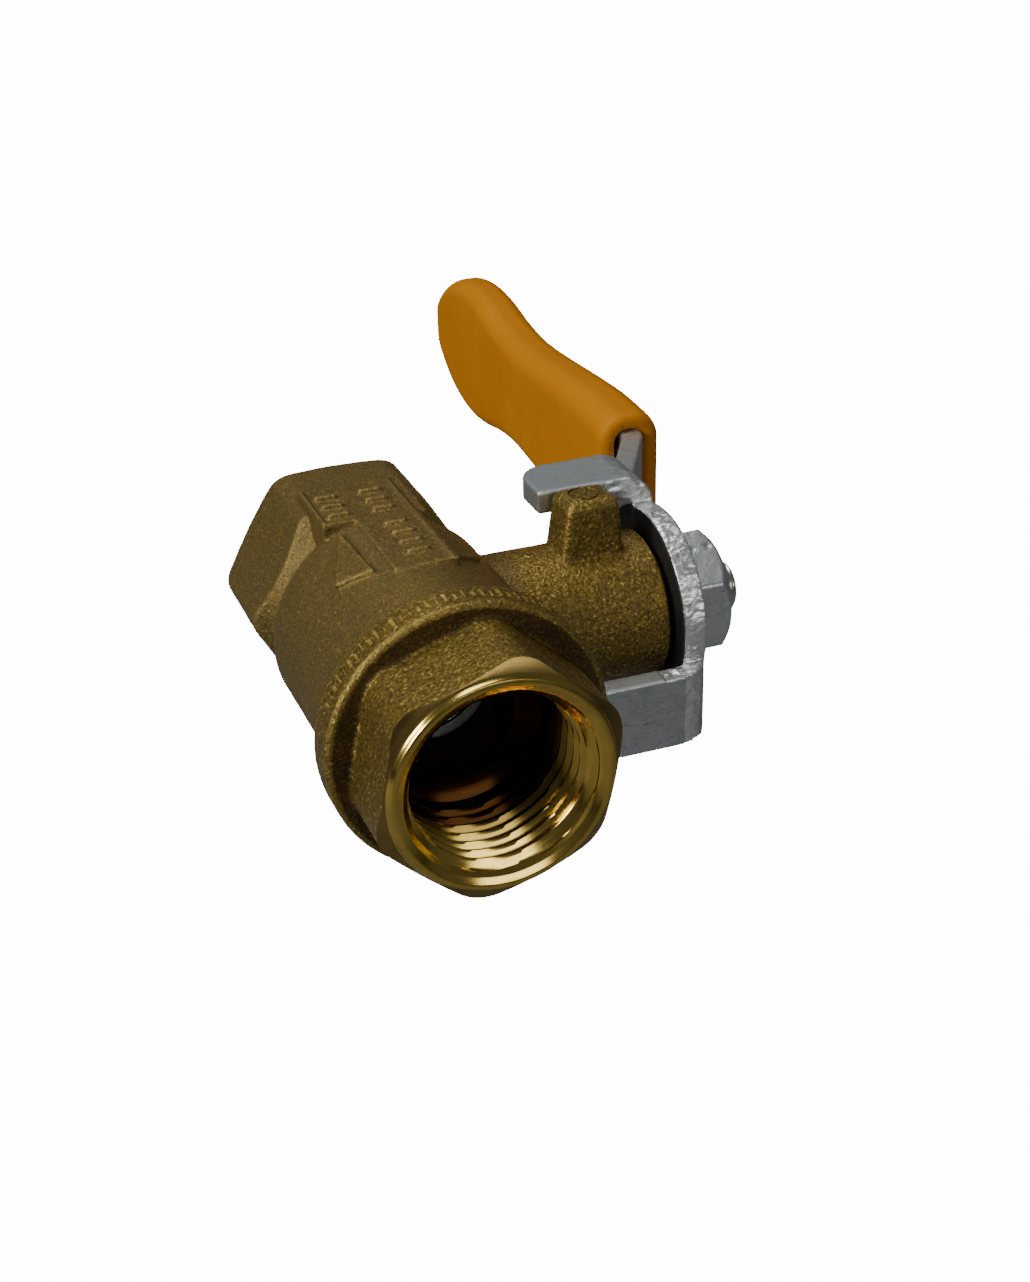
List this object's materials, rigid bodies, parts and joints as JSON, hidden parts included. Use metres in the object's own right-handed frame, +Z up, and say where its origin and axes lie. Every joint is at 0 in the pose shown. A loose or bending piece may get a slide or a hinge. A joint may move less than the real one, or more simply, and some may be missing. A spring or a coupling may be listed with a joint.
{
  "type": "gas ball valve",
  "caption": "Small brass gas ball valve with female threaded ports, wrench hexagons, a side stem and a stamped steel lever whose orange dipped grip turns the ball open or shut.",
  "frame": {"origin": "centre of the bounding box's bottom face, at the level of the surface the valve lies on; the ball's centre is at (-0.012725, -0.02935, 0.0126) m", "axes": "+X out along the stem towards the lever nut, +Y along the pipe from the end cap to the body's own port and along the open lever, +Z up, the side of the stop lug"},
  "size_m": [0.0496, 0.1112, 0.0252],
  "materials": {
    "cast_brass": "sand-blasted forged brass",
    "machined_brass": "blasted outside, bright turned face and thread",
    "chrome_ball": "polished chrome plate on brass",
    "ptfe": "waxy white PTFE",
    "nickel_stem": "nickel-plated brass",
    "seal_rubber": "black nitrile rubber",
    "zinc_plate": "dull zinc plate with rough sheared edges",
    "orange_grip": "satin dipped PVC",
    "zinc_nut": "zinc plate"
  },
  "bodies": {
    "valve": {"valve_body": "cast_brass", "end_cap": "machined_brass", "seat_ring_front": "ptfe", "seat_ring_rear": "ptfe", "stem_washer": "ptfe"},
    "lever": {"stem": "nickel_stem", "o_ring_lower": "seal_rubber", "o_ring_upper": "seal_rubber", "lever_plate": "zinc_plate", "lever_grip": "orange_grip", "lever_nut": "zinc_nut"},
    "ball": {"ball": "chrome_ball"}
  },
  "joints": [
    {"name": "lever_turn", "type": "hinge", "parent": "valve", "child": "lever", "pos_m": [-0.01224, -0.02985, 0.0126], "axis": [1, 0, 0], "range_deg": [-90, 0]},
    {"name": "ball_turn", "type": "hinge", "parent": "valve", "child": "ball", "pos_m": [-0.01224, -0.02985, 0.0126], "axis": [1, 0, 0], "range_deg": [-90, 0]}
  ],
  "couplings": [
    {"joint": "ball_turn", "follows": "lever_turn", "ratio": 1}
  ]
}
